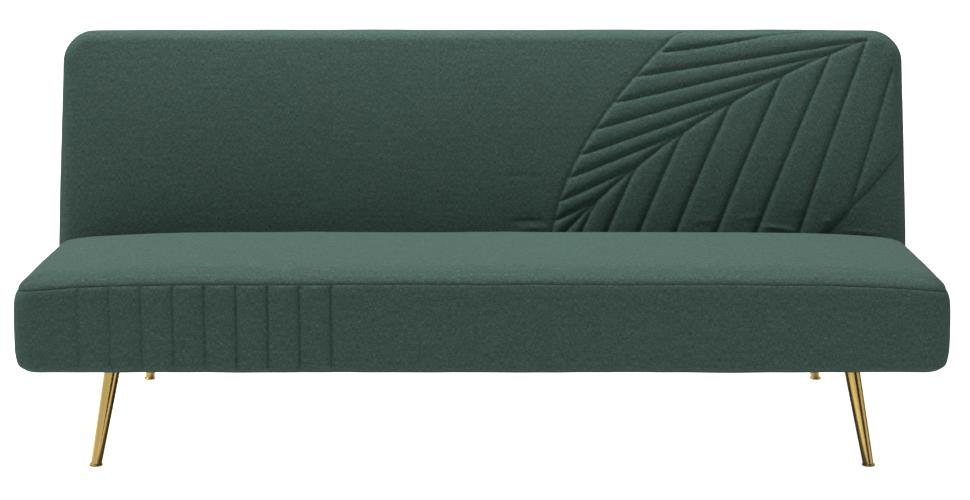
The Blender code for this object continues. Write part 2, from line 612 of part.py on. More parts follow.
def hinge_slots(back, parts, foam):
    """Cuts the room that the bracket needs at the backrest's lower end, and the arms' in the foam."""
    low_x, high_x = ARM_INNER - PIVOT_HEAD - SLOT_SPARE, HINGE_X + PIVOT_NUT + PIVOT_SPARE + 2 * SLOT_SPARE
    beyond = 0.01
    for side, sign in SIDES:
        xs = sorted((sign * low_x, sign * high_x))
        low = (xs[0], -beyond, -beyond)
        high = (xs[1], PIVOT_ABOVE_END + SLOT_ABOVE, PIVOT_FROM_REAR + SLOT_AHEAD)
        slot = box("slot_" + side, low, high, parent=back.parent)
        for part in parts:
            cut(part, slot)
        xs = sorted((sign * low_x, sign * (ARM_OUTER + 2 * CLEARANCE)))
        tail_end = PIVOT_ABOVE_END + ARM_TAIL[-1][1] + ARM_CORNER + SLOT_SPARE
        low = (xs[0], PIVOT_ABOVE_END, -beyond)
        high = (xs[1], tail_end, PIVOT_FROM_REAR)
        cut(foam, box("arm_room_" + side, low, high, parent=back.parent))


# ------------------------------------------------------------------ the object
def build_seat():
    parent = place("seat_block", location=(0, FRONT, SEAT_UNDERSIDE))
    edges = (SEAT_CORNER, SEAT_TOP_EDGE, SEAT_LOW_EDGE)
    seat = Block("seat", parent, SEAT_DEPTH, SEAT_THICKNESS, edges, SEAT_FRAME_HALF, SEAT_RAIL_HIGH)
    seat.build(("front", "rear"))
    sheet = seat.sheet("seat_dust_cover", "dust_sheet")
    for side, sign in SIDES:
        rail = bpy.data.objects["seat_rail_" + side]
        for end, back in BOLT_PLACES:
            seat_bolt(f"{end}_{side}", sign * HINGE_X, FRONT + back, rail, sheet)


def build_backrest():
    axis = place("backrest_axis", location=PIVOT, rotation=(-LEAN, 0, 0))
    spot = (0, PIVOT_FROM_REAR, -PIVOT_ABOVE_END)
    parent = place("back_block", axis, spot, (pi / 2, 0, 0))
    edges = (BACK_CORNER, BACK_TOP_EDGE, BACK_LOW_EDGE)
    back = Block("back", parent, BACK_LENGTH, BACK_THICKNESS, edges, BACK_FRAME_HALF, BACK_RAIL_HIGH)
    back.build(("lower", "upper"))
    panel = back.sheet("back_panel", "green_fabric")
    foam = bpy.data.objects["back_foam"]
    hinge_slots(back, (bpy.data.objects["back_cover"], foam, panel), foam)
    for side, sign in SIDES:
        hinge_arm(side, sign, axis)
        pawl(side, sign, axis)
        pawl_pin(side, sign, axis)
        pawl_spring(side, sign, axis)


def build_base():
    for side, sign in SIDES:
        side_tube(side, sign)
        pivot_bracket(side, sign)
        pivot_bolt(side, sign)
        bumper(side, sign)
    for end, foot_y, inward in ENDS:
        cross_tube(end, foot_y, inward)
        for side, sign in SIDES:
            tube_plug(end, side, sign)
            leg(end, foot_y, inward, side, sign)


clear_scene()
build_base()
build_seat()
build_backrest()
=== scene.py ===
"""Looks of the click-clack futon sofa bed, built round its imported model. Metres, +Z up.

The seat and the backrest are upholstered blocks. Each is drawn in its own coordinates, as in the CAD:
x across, y from its near end to its far end, z from its underside to the face that people sit or lean on.
"""

import json
from math import pi, radians

import bpy
import numpy as np
from mathutils import Matrix, Vector, kdtree, noise


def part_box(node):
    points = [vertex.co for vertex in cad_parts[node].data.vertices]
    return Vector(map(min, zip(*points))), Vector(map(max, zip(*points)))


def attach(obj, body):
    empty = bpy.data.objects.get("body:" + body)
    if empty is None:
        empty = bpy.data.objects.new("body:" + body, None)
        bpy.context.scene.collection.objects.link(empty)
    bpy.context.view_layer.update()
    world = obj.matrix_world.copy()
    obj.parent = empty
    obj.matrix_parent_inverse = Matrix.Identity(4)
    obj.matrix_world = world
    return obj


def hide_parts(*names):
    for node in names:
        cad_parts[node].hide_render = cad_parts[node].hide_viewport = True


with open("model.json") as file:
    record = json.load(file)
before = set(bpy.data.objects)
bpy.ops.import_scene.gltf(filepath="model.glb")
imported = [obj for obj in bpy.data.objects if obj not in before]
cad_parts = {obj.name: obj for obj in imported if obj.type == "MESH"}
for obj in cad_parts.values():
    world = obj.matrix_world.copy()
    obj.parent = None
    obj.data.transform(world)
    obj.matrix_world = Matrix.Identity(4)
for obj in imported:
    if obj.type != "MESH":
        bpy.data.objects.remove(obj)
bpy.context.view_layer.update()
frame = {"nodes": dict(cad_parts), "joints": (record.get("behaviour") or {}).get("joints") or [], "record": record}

# ------------------------------------------------------------------ sizes, close to the CAD
LEG_LABELS = [f"{end}_{side}" for end in ("front", "rear") for side in ("left", "right")]
LEAN = radians(15.0)
BACK_LENGTH, BACK_THICKNESS = 0.564, 0.145
PIVOT_BEHIND_FACE, PIVOT_ABOVE_END = 0.065, 0.085
# a block's roundings: its upright corners, how far down its top edge starts, how far that edge reaches
# over the face at the near end, the far end and the two sides, and its low edge
SEAT_EDGES = (0.045, 0.029, (0.068, 0.034, 0.043), 0.017)
BACK_EDGES = (0.065, 0.035, (0.032, 0.032, 0.032), 0.040)
END_TUCK, END_TUCK_HIGH, END_TUCK_WIDE = 0.0085, 0.050, 0.080
HEM = 0.045
# coordinates nearer than this are the same
NEARLY = 1e-6
SLOT_INNER, SLOT_OUTER, SLOT_ALONG, SLOT_UP = 0.8300, 0.8500, 0.147, 0.115

# ------------------------------------------------------------------ upholstery
SEAT_CROWN, SEAT_CROWN_POWER = 0.0068, (2.0, 8.0)
BACK_CROWN, BACK_CROWN_POWER = 0.0180, (2.3, 2.6)
CROWN_SIDE_POWER, BACK_TAPER_POWER = 12, 3
SEAT_BULGE, BACK_BULGE, BACK_TAPER = 0.0012, 0.0004, 0.0035
SEED_STEPS = (7.3, 3.1, 5.7)
# the softness of padding, as waves of a height, a size and a seed
SEAT_WAVES = ((0.0011, 0.16, 2), (0.0005, 0.05, 3))
BACK_WAVES = ((0.0012, 0.17, 6), (0.0004, 0.05, 7))
BACK_END_SINK, BACK_END_SINK_WIDE = 0.0040, 0.060

SEAM_DOWN, SEAM_DEEP, SEAM_BELOW, SEAM_REACH = 0.0265, 0.0078, 0.0135, 0.080
SEAM_CREASE, SEAM_CREASE_WIDE = 0.0016, 0.0011
SEAM_WAVER, WAVER_SIZE, WAVER_SEED = 0.0012, 0.09, 1
SEAM_DROOP, DROOP_X, DROOP_POWER = 0.0120, 0.860, 6
CHANNELS, CHANNEL_PITCH, LAST_CHANNEL = 9, 0.0604, -0.2884
CHANNEL_DEEP, CHANNEL_WIDE, CHANNEL_STEEP, CHANNEL_PUFF = 0.0060, 0.0058, 1.7, 0.0034
# channels gain strength from just outside the first, and all fade out towards the seam and the underside
CHANNEL_WEAKEST, CHANNEL_LEAD, FULL_CHANNEL, CHANNEL_MARGIN = 0.45, 0.020, 2, 0.030
CHANNEL_FADES = (0.006, 0.020)
# the pitch of the grid's lines near edges, along the depth, along the width and up the sides
SEAT_EDGE_PITCH, SEAT_DEPTH_PITCH, SEAT_WIDTH_PITCH, SEAT_HIGH_PITCH = 0.0045, 0.0085, 0.0075, 0.009
SEAT_EDGE_LOW, SEAT_EDGE_HIGH = 0.030, 0.050
# extra lines on each side of a channel and of the seam, and how near another line may be
BESIDE_CHANNEL = (0.0012, 0.0026, 0.0050)
BESIDE_SEAM = (0.0011, 0.0026, 0.0050, 0.0085)
CHANNEL_CLEAR, SEAM_CLEAR = 0.0022, 0.0018

# the quilted leaf, in metres: across the backrest, and along it from the hinge's level
LEAF_LEFT = ((0.430, 0.482), (0.153, 0.218), (0.143, 0.000))
LEAF_MIDRIB = ((0.137, 0.000), (0.400, 0.296), (0.820, 0.452))
LEAF_RIGHT = ((0.905, 0.240), (0.838, 0.148), (0.690, 0.000), (0.632, -0.060))
MIDRIB_STEPS, CURVE_POINTS, FOLD_POINTS = 1000, 60, 30
MIDRIB_SHARES = (0.19, 0.327, 0.478, 0.626, 0.773, 0.905, 1.0)
RIB_LEVELS = (0.062, 0.103, 0.152, 0.200, 0.256, 0.313, 0.370)
TOP_RIB = ((0.385, 0.424), (0.560, 0.444), (0.740, 0.492))
RIB_LEAN, LAST_RIB_LEAN, RIB_BOW = 0.42, 0.36, 0.012
RIB_FOOT = -0.060
OUTER_RIB = ((0.873, 0.392), (0.827, 0.250), (0.776, 0.093))
QUILT_DEEP, QUILT_SOFT, PLAIN_LIFT, PROUD_FADE = 0.0066, 0.0105, 0.30, 0.040
# small folds over the seat, each a line across and along, and a height
FOLDS = (
    ((0.578, 0.050), (0.622, 0.050), (0.674, 0.037), 0.0022),
    ((0.440, 0.058), (0.470, 0.064), (0.500, 0.062), 0.0013),
    ((0.535, 0.066), (0.560, 0.071), (0.588, 0.069), 0.0012),
    ((0.716, 0.060), (0.728, 0.064), (0.742, 0.060), 0.0016),
    ((0.760, 0.042), (0.802, 0.042), (0.846, 0.033), 0.0020),
    ((0.640, 0.083), (0.666, 0.089), (0.690, 0.086), 0.0008),
    ((0.050, 0.058), (0.098, 0.067), (0.142, 0.060), -0.0018),
    ((0.075, 0.045), (0.110, 0.049), (0.142, 0.047), 0.0014),
    ((0.020, 0.155), (0.070, 0.160), (0.130, 0.154), -0.0008),
)
FOLD_WIDE = 0.0050
CREASE_DEEP, CREASE_WIDE = 0.0016, 0.0022
PUCKER, PUCKER_SIZE, PUCKER_WIDE, PUCKER_SEED = 0.0007, 0.011, 0.012, 5
# the leaf's relief fades out between these shares of the block's thickness, from the face down
QUILT_FADES = (0.45, 0.80)
LEAF_PITCH, NEAR_LEAF_PITCH, PLAIN_PITCH = 0.0031, 0.005, 0.010
NEAR_LEAF, LEAF_START = 0.020, 0.120
BACK_END_PITCH, BACK_LINES_CLEAR, BACK_HIGH_CLEAR = 0.006, 0.0014, 0.0020
BACK_HIGH_LINES = ((0, 0.045, 0.006), (0.045, 0.100, 0.010), (0.100, BACK_THICKNESS, 0.0055))
# a grid point that is nearer to a stitched line than this share of the pitch moves onto it
SNAP_REACH = 0.52
# the quilt's raster: its pitch, where it starts, how far it goes past the block, and its rounds of relaxing
RASTER, RASTER_START, RASTER_PAST, RELAX_ROUNDS = 0.0014, (0.10, -0.05), (0.03, 0.05), 500
STITCH_PITCH, FIRST_GUESS = RASTER * 0.6, 0.6

# ------------------------------------------------------------------ sheets, legs and bumpers
CLEARANCE = 0.0003
SHEET, SHEET_PITCH, SHEET_CLEAR = 0.0012, 0.016, 0.002
BOLT_HOLE = 0.0086
# where an underside's sheet hangs free of the frame: across, along and by how much
SEAT_SPANS = (((-0.80, -0.28), (-0.26, 0.26), (0.28, 0.80)), ((0.050, 0.138), (0.190, 0.410)), 0.0030)
BACK_SPANS = (((-0.56, -0.30), (-0.26, 0.26), (0.30, 0.56)), ((0.060, 0.500),), 0.0020)
LEG_TOP_RADIUS, LEG_FOOT_RADIUS, LEG_WALL, RIM = 0.0162, 0.0104, 0.0015, 0.0004
FOOT_RADIUS, FOOT_EDGE, FOOT_HIGH, FOOT_PLUG = 0.0130, 0.0012, 0.0042, 0.014
PLATE_SIDE, PLATE_CORNER, PLATE_EDGE, SPIGOT_LONG = 0.050, 0.006, 0.0007, 0.014
SCREW_ASIDE, SCREW_AHEAD, SCREW_RADIUS, SCREW_HIGH = 0.0190, 0.0135, 0.0036, 0.0019
SOCKET, SOCKET_DEEP, SOCKET_SIDES = 0.0017, 0.0010, 6
BUMPER_NECK, BUMPER_WAIST, BUMPER_ROUND = 0.85, 0.82, 0.0025
ROUND, ROUND_STEPS, SHARP = 48, 4, radians(32)
# the turns round a whole circle, and up a rounded edge
ANGLES = 2 * pi * (np.arange(ROUND) + 0.5) / ROUND
TURNS = [pi / 2 * k / ROUND_STEPS for k in range(ROUND_STEPS + 1)]

# ------------------------------------------------------------------ upholstery cloth
DEEP_THREAD, MID_THREAD, LIGHT_THREAD = (0.027, 0.054, 0.046), (0.051, 0.092, 0.078), (0.093, 0.152, 0.130)
FLECK, CLOTH_SHEEN = (0.092, 0.092, 0.072), (0.30, 0.80, 0.66, 1)
# noises of the cloth, as their scales to the metre, and how far each changes the colour
WARP_SCALE, WEFT_SCALE, SLUB_SCALE = (900, 120, 1), (120, 900, 1), (22, 150, 1)
FLECK_SCALE, CLOUD_SCALE, TINGE_SCALE, FUZZ_SCALE, SOFT_SCALE = 620.0, 190.0, 120.0, 2600.0, 240.0
SLUB_RANGE, CLOUD_RANGE, RED_RANGE, BLUE_RANGE = (0.90, 1.10), (0.88, 1.12), (0.83, 1.18), (1.11, 0.89)
MOST_FLECK, THREAD_PITCH, THREAD_SHARE = 0.45, 0.0016, 0.35
FUZZ_HIGH, SOFT_HIGH = 0.00028, 0.0008

# ------------------------------------------------------------------ light and camera
WHITE = (1, 1, 1, 1)
SKY, MIRROR_SKY = 0.22, 0.52
FLAG_AHEAD, FLAG_ASIDE, FLAG_HIGH = 0.62, (0.14, 0.80), 1.0
LIGHT, LIGHT_ANGLE, LIGHT_FROM = 3.2, radians(42), (-0.30, 0.15, 1.0)
SOFTBOX, SOFTBOX_PLACE, SOFTBOX_SIZE = 25, (-0.20, 0.14, 2.20), (2.1, 0.6)
FLOOR_BOUNCE, FLOOR_GLOW, FLOOR_HALF = 0.84, 1.0, 30
CAMERA_LENS, CAMERA_SENSOR = 85.55, 36
CAMERA_ASIDE, CAMERA_AWAY, CAMERA_HIGH, CAMERA_DOWN = 0.0055, 4.3, 1.2243, 0.1765


# ------------------------------------------------------------------ materials
class Shading:
    """A new material with a Principled shader, and short calls for its nodes."""

    def __init__(self, name, roughness=0.5, metallic=0.0, **inputs):
        self.material = bpy.data.materials.new(name)
        self.material.use_nodes = True
        self.tree = self.material.node_tree
        self.shader = self.tree.nodes["Principled BSDF"]
        self.shader.inputs["Roughness"].default_value = roughness
        self.shader.inputs["Metallic"].default_value = metallic
        for key, value in inputs.items():
            self.shader.inputs[key.replace("_", " ")].default_value = value
        self.place = self.add("ShaderNodeTexCoord").outputs["Object"]

    def add(self, kind, inputs=None, **settings):
        node = self.tree.nodes.new(kind)
        for key, value in settings.items():
            setattr(node, key, value)
        for key, value in (inputs or {}).items():
            if isinstance(value, bpy.types.NodeSocket):
                self.tree.links.new(value, node.inputs[key])
            else:
                node.inputs[key].default_value = value
        return node

    def noise(self, scale, detail=2.0, roughness=0.6, place=None):
        inputs = {"Vector": place or self.place, "Scale": scale, "Detail": detail, "Roughness": roughness}
        return self.add("ShaderNodeTexNoise", inputs).outputs["Fac"]

    def stretched(self, scale, place=None):
        inputs = {"Vector": place or self.place, "Scale": scale}
        return self.add("ShaderNodeMapping", inputs).outputs["Vector"]

    def ramp(self, value, *stops):
        """A colour ramp; each stop is (position, colour)."""
        node = self.add("ShaderNodeValToRGB", {"Fac": value})
        ramp = node.color_ramp
        while len(ramp.elements) < len(stops):
            ramp.elements.new(1.0)
        for element, (position, colour) in zip(ramp.elements, stops):
            element.position, element.color = position, (*colour, 1)
        return node.outputs["Color"]

    def mix(self, factor, one, other, blend="MIX"):
        node = self.add("ShaderNodeMix", data_type="RGBA", blend_type=blend)
        # the node has a socket of each name for every type, and these are its colour sockets
        sockets = {"Factor": node.inputs[0], "A": node.inputs[6], "B": node.inputs[7]}
        for key, value in (("Factor", factor), ("A", one), ("B", other)):
            if isinstance(value, bpy.types.NodeSocket):
                self.tree.links.new(value, sockets[key])
            else:
                sockets[key].default_value = value if key == "Factor" else (*value, 1)
        return node.outputs[2]

    def range(self, value, low, high, start=0.3, end=0.7):
        inputs = {"Value": value, "From Min": start, "From Max": end, "To Min": low, "To Max": high}
        return self.add("ShaderNodeMapRange", inputs).outputs["Result"]

    def maths(self, operation, one, other=0.0):
        return self.add("ShaderNodeMath", {0: one, 1: other}, operation=operation).outputs[0]

    def link(self, value, key):
        self.tree.links.new(value, self.shader.inputs[key])

    def bump(self, height, distance, strength=1.0, below=None):
        inputs = {"Height": height, "Distance": distance, "Strength": strength}
        if below:
            inputs["Normal"] = below
        return self.add("ShaderNodeBump", inputs).outputs["Normal"]


def woven(name):
    """A melange plain weave: threads of three near colours, flecks and fuzz. Needs the weave attribute."""
    s = Shading(name, roughness=0.92)
    s.shader.inputs["Sheen Weight"].default_value = 0.06
    s.shader.inputs["Sheen Roughness"].default_value = 0.45
    s.shader.inputs["Sheen Tint"].default_value = CLOTH_SHEEN
    s.shader.inputs["Specular IOR Level"].default_value = 0.08
    weave = s.add("ShaderNodeAttribute", attribute_name="weave").outputs["Vector"]
    warp, weft = (s.noise(1.0, place=s.stretched(scale, weave)) for scale in (WARP_SCALE, WEFT_SCALE))
    threads = s.maths("MULTIPLY", s.maths("ADD", warp, weft), 0.5)
    colour = s.ramp(threads, (0.36, DEEP_THREAD), (0.50, MID_THREAD), (0.63, LIGHT_THREAD))
    flecks = s.range(s.noise(FLECK_SCALE, 3.0, 0.7), 0.0, MOST_FLECK, 0.50, 0.68)
    colour = s.mix(flecks, colour, FLECK)
    slubs = s.range(s.noise(1.0, 3.0, place=s.stretched(SLUB_SCALE, weave)), *SLUB_RANGE)
    cloudy = s.maths("MULTIPLY", s.range(s.noise(CLOUD_SCALE, 3.0, 0.65), *CLOUD_RANGE), slubs)
    tinge = s.noise(TINGE_SCALE, 4.0, 0.65)
    parts = {"Red": s.maths("MULTIPLY", cloudy, s.range(tinge, *RED_RANGE)), "Green": cloudy,
             "Blue": s.maths("MULTIPLY", cloudy, s.range(tinge, *BLUE_RANGE))}
    shade = s.add("ShaderNodeCombineColor", parts).outputs["Color"]
    s.link(s.mix(1.0, colour, shade, "MULTIPLY"), "Base Color")
    place = s.add("ShaderNodeSeparateXYZ", {"Vector": weave}).outputs
    turn = 2 * pi / THREAD_PITCH
    across, along = (s.maths("SINE", s.maths("MULTIPLY", place[axis], turn)) for axis in "XY")
    over = s.maths("MULTIPLY", s.maths("MULTIPLY", across, along), THREAD_SHARE)
    height = s.maths("ADD", over, s.noise(FUZZ_SCALE, 2.0, 0.7))
    soft = s.bump(s.noise(SOFT_SCALE, 3.0, 0.55), SOFT_HIGH, 0.25)
    s.link(s.bump(height, FUZZ_HIGH, 0.6, soft), "Normal")
    return s.material


def brass():
    s = Shading("polished_brass", roughness=0.16, metallic=1.0)
    tone = s.noise(14.0, 3.0)
    s.link(s.ramp(tone, (0.3, (0.84, 0.57, 0.17)), (0.7, (0.94, 0.67, 0.22))), "Base Color")
    fine = s.noise(1.0, 3.0, 0.7, s.stretched((1500, 1500, 60)))
    s.link(s.range(fine, 0.10, 0.24), "Roughness")
    s.link(s.bump(fine, 0.00002, 0.25), "Normal")
    return s.material


def powder_coat():
    s = Shading("black_powder_coat", roughness=0.45)
    tone = s.noise(60.0)
    s.link(s.ramp(tone, (0.3, (0.012, 0.012, 0.013)), (0.7, (0.024, 0.024, 0.026))), "Base Color")
    peel = s.noise(900.0, 2.0)
    s.link(s.range(peel, 0.36, 0.54), "Roughness")
    s.link(s.bump(peel, 0.00012, 0.5), "Normal")
    return s.material


def zinc():
    s = Shading("zinc_plated_steel", metallic=1.0)
    spangle = s.add("ShaderNodeTexVoronoi", {"Vector": s.place, "Scale": 220.0}).outputs["Color"]
    tone = s.add("ShaderNodeSeparateColor", {"Color": spangle}).outputs["Red"]
    s.link(s.ramp(tone, (0.0, (0.42, 0.42, 0.43)), (1.0, (0.62, 0.62, 0.60))), "Base Color")
    s.link(s.range(s.noise(500.0, 3.0), 0.28, 0.46), "Roughness")
    return s.material


def grainy(name, low, high, scale, roughness, height):
    """Moulded plastic, rubber, foam and felt: a fine grain in colour, roughness and relief."""
    s = Shading(name)
    grain = s.noise(scale, 3.0)
    s.link(s.ramp(grain, (0.3, low), (0.7, high)), "Base Color")
    s.link(s.range(grain, roughness - 0.06, roughness + 0.06), "Roughness")
    s.link(s.bump(grain, height, 0.6), "Normal")
    return s.material


def pine():
    s = Shading("sawn_pine")
    rings = s.noise(1.0, 4.0, 0.6, s.stretched((6, 90, 90)))
    dark, mid, light = (0.42, 0.25, 0.11), (0.60, 0.41, 0.21), (0.68, 0.50, 0.29)
    s.link(s.ramp(rings, (0.35, dark), (0.55, mid), (0.7, light)), "Base Color")
    s.link(s.range(rings, 0.55, 0.75), "Roughness")
    s.link(s.bump(rings, 0.0003, 0.5), "Normal")
    return s.material


def strapping():
    s = Shading("woven_webbing", roughness=0.85)
    inputs = {"Vector": s.place, "Scale": 160.0, "Distortion": 0.6}
    wave = s.add("ShaderNodeTexWave", inputs).outputs["Fac"]
    s.link(s.ramp(wave, (0.2, (0.012, 0.012, 0.012)), (0.8, (0.05, 0.05, 0.05))), "Base Color")
    s.link(s.bump(wave, 0.0003, 0.6), "Normal")
    return s.material


SLOTS = {
    "green_fabric": woven("green_melange"),
    "foam": grainy("foam", (0.75, 0.68, 0.45), (0.85, 0.80, 0.60), 700.0, 0.9, 0.0004),
    "pine": pine(),
    "webbing": strapping(),
    "dust_sheet": grainy("black_felt", (0.010,) * 3, (0.030,) * 3, 1200.0, 0.92, 0.0003),
    "black_steel": powder_coat(),
    "zinc_steel": zinc(),
    "brass_plate": brass(),
    "black_plastic": grainy("moulded_plastic", (0.012,) * 3, (0.022,) * 3, 1500.0, 0.5, 0.00008),
    "rubber": grainy("moulded_rubber", (0.010,) * 3, (0.025,) * 3, 1100.0, 0.8, 0.0001),
}
slot_of = {part["node"]: part["material_slot"] for part in frame["record"]["subparts"]}


def hold(obj, node, body="base"):
    """Put a finer piece in the place of a CAD node."""
    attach(obj, body)
    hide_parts(node)


# ------------------------------------------------------------------ meshes
def spaced(*stretches):
    """Coordinates along a line. Each stretch is (start, end, greatest pitch)."""
    found = [stretches[0][0]]
    for start, end, pitch in stretches:
        steps = max(1, int(np.ceil((end - start) / pitch - 1e-9)))
        found += [start + (end - start) * k / steps for k in range(1, steps + 1)]
    return np.array(found)


def with_marks(lines, marks, clear):
    """The same coordinates, with the marks added and the lines too near to a mark left out."""
    marks = np.array(sorted(marks))
    kept = [v for v in lines if np.abs(marks - v).min() > clear]
    return np.array(sorted([*kept, *marks]))


def make_object(name, points, faces, material=None, smooth=True):
    mesh = bpy.data.meshes.new(name)
    mesh.from_pydata([tuple(p) for p in points], [], faces)
    mesh.validate()
    if material:
        mesh.materials.append(material)
    obj = bpy.data.objects.new(name, mesh)
    bpy.context.scene.collection.objects.link(obj)
    if smooth:
        mesh.shade_smooth()
    return obj


def bezier(ends, count=CURVE_POINTS):
    """Points along the curve through three control points, the middle one pulling."""
    a, b, c = (np.array(p) for p in ends)
    t = np.linspace(0, 1, count)[:, None]
    return a * (1 - t) ** 2 + 2 * b * t * (1 - t) + c * t ** 2


def ease(value, low, high):
    t = np.clip((value - low) / (high - low), 0, 1)
    return t * t * (3 - 2 * t)


def waves(points, size, seed):
    """Smooth noise from about -1 to 1 at each point, with features of about that size."""
    shift = Vector([seed * step for step in SEED_STEPS])
    return np.array([noise.noise(Vector(p) / size + shift) for p in points])


class Skin:
    """The cover of a block, drawn as the grid of a box that is then rounded, with a hem turned under."""

    def __init__(self, xs, ys, zs, edges):
        self.xs, self.ys, self.zs = xs, ys, zs
        self.half, self.length, self.thickness = xs[-1], ys[-1], zs[-1]
        self.corner, self.top_edge, self.top_wide, self.low_edge = edges
        self.spots, self.faces, self.sides = [], [], []
        self.numbers = {}
        self.draw()
        self.flat = np.array([(xs[i], ys[j], zs[k]) for i, j, k in self.spots])
        x, y, z = self.flat.T
        self.inset = np.minimum(self.half - np.abs(x), np.minimum(y, self.length - y))
        self.on_top = z > self.thickness - NEARLY
        self.on_side = (self.inset < NEARLY) & ~self.on_top & (z > 0)

    def spot(self, i, j, k):
        if (i, j, k) not in self.numbers:
            self.numbers[i, j, k] = len(self.spots)
            self.spots.append((i, j, k))
        return self.numbers[i, j, k]

    def quad(self, side, *corners):
        self.faces.append([self.spot(*c) for c in corners])
        self.sides.append(side)

    def in_hem(self, i, j):
        if not (0 <= i < len(self.xs) - 1 and 0 <= j < len(self.ys) - 1):
            return True
        x, y = (self.xs[i] + self.xs[i + 1]) / 2, (self.ys[j] + self.ys[j + 1]) / 2
        return min(self.half - abs(x), y, self.length - y) < HEM

    def in_slot(self, i, j, k):
        """Whether a cell of the box belongs to a slot."""
        return False

    def draw(self):
        nx, ny, nz = len(self.xs) - 1, len(self.ys) - 1, len(self.zs) - 1
        for i in range(nx):
            for j in range(ny):
                self.quad("top", (i, j, nz), (i + 1, j, nz), (i + 1, j + 1, nz), (i, j + 1, nz))
                if self.in_slot(i, j, 0):
                    continue
                if self.in_hem(i, j):
                    self.quad("under", (i, j, 0), (i, j + 1, 0), (i + 1, j + 1, 0), (i + 1, j, 0))
                    continue
                # the hem's inner edge turns up into the block
                corners = ((i, j), (i + 1, j), (i + 1, j + 1), (i, j + 1))
                beyond = ((i, j - 1), (i + 1, j), (i, j + 1), (i - 1, j))
                for turn, cell in enumerate(beyond):
                    if self.in_hem(*cell) and not self.in_slot(*cell, 0):
                        a, b = corners[turn], corners[(turn + 1) % 4]
                        self.quad("under", (*a, 0), (*b, 0), (*b, 1), (*a, 1))
            for k in range(nz):
                if not self.in_slot(i, 0, k):
                    self.quad("near", (i, 0, k), (i + 1, 0, k), (i + 1, 0, k + 1), (i, 0, k + 1))
                self.quad("far", (i, ny, k), (i, ny, k + 1), (i + 1, ny, k + 1), (i + 1, ny, k))
        for j in range(ny):
            for k in range(nz):
                self.quad("left", (0, j, k), (0, j, k + 1), (0, j + 1, k + 1), (0, j + 1, k))
                self.quad("right", (nx, j, k), (nx, j + 1, k), (nx, j + 1, k + 1), (nx, j, k + 1))

    def rounded(self, flat):
        """Points of the square box moved onto the rounded one."""
        x, y, z = flat.T.copy()
        beside = self.half - np.abs(x)
        ahead = np.minimum(y, self.length - y)
        inset = np.minimum(beside, ahead)
        end_wide = np.where(y < self.length / 2, *self.top_wide[:2])
        dx = x - np.clip(x, -self.half + self.corner, self.half - self.corner)
        dy = y - np.clip(y, self.corner, self.length - self.corner)
        far = np.hypot(dx, dy)
        out = np.divide(1.0, far, out=np.zeros_like(far), where=far > 0)
        scale = np.where(far > 0, np.maximum(abs(dx), abs(dy)) * out, 1)
        x, y = x - dx + dx * scale, y - dy + dy * scale
        upper = z > self.thickness / 2
        # a quarter of an ellipse: wide along the face, high down the side
        to_side = ease(ahead - beside, -self.corner, self.corner)
        wide = np.where(upper, end_wide + (self.top_wide[2] - end_wide) * to_side, self.low_edge)
        high = np.where(upper, self.top_edge, self.low_edge)
        a, b = 1 - inset / wide, np.where(upper, z - self.thickness, -z) / high + 1
        near = (a > 0) & (b > 0)
        a, b = np.where(near, a, 0), np.where(near, b, 0)
        share = np.divide(np.maximum(a, b), np.hypot(a, b), out=np.ones_like(a), where=near)
        inward, drop = a * (1 - share) * wide, b * (1 - share) * high
        x, y = x - dx * out * inward, y - dy * out * inward
        return np.stack([x, y, np.where(upper, z - drop, z + drop)], 1)

    def surface_place(self, side, point):
        """Where a point of the square box lies on the cloth, in metres, unrolled from the top face."""
        x, y, z = point
        down = self.thickness - z
        if side == "near":
            return x, -down
        if side == "far":
            return x, self.length + down
        if side == "left":
            return -self.half - down, y
        if side == "right":
            return self.half + down, y
        return x, y

    def object(self, name, points, material):
        obj = make_object(name, points, self.faces, material)
        weave = obj.data.attributes.new("weave", "FLOAT_VECTOR", "CORNER")
        values = []
        for side, face in zip(self.sides, self.faces):
            for number in face:
                values += [*self.surface_place(side, self.flat[number]), 0.0]
        weave.data.foreach_set("vector", values)
        return obj


def normals_of(points, faces):
    """The outward normal at each point of a mesh."""
    quads = np.array(faces)
    a, b, c, d = (points[quads[:, n]] for n in range(4))
    face = np.cross(c - a, d - b)
    found = np.zeros_like(points)
    for n in range(4):
        np.add.at(found, quads[:, n], face)
    return found / np.maximum(np.linalg.norm(found, axis=1, keepdims=True), 1e-12)


def crown(flat, skin, height, power):
    """How far the foam lifts the top face. Each half has a power: a high one keeps it level to its edge."""
    across = 1 - np.abs(flat[:, 0] / skin.half) ** CROWN_SIDE_POWER
    share = 2 * flat[:, 1] / skin.length - 1
    along = 1 - np.abs(share) ** np.where(share < 0, *power)
    up = ease(flat[:, 2], skin.thickness / 2, skin.thickness)
    return height * across * along * up


def bulge(flat, skin, height):
    """How far the sides stand out between their edges."""
    return height * np.sin(pi * np.clip(flat[:, 2] / skin.thickness, 0, 1))


def softness(flat, layers):
    """Shallow waves, from layers of (height, size, seed)."""
    return sum(height * waves(flat, size, seed) for height, size, seed in layers)


# ------------------------------------------------------------------ seat
def channel_lines():
    return [LAST_CHANNEL - CHANNEL_PITCH * k for k in range(CHANNELS)]


def seam_droop(x):
    return SEAM_DROOP * np.abs(x / DROOP_X) ** DROOP_POWER


def either_side(offsets):
    return [*(-d for d in offsets), 0, *offsets]


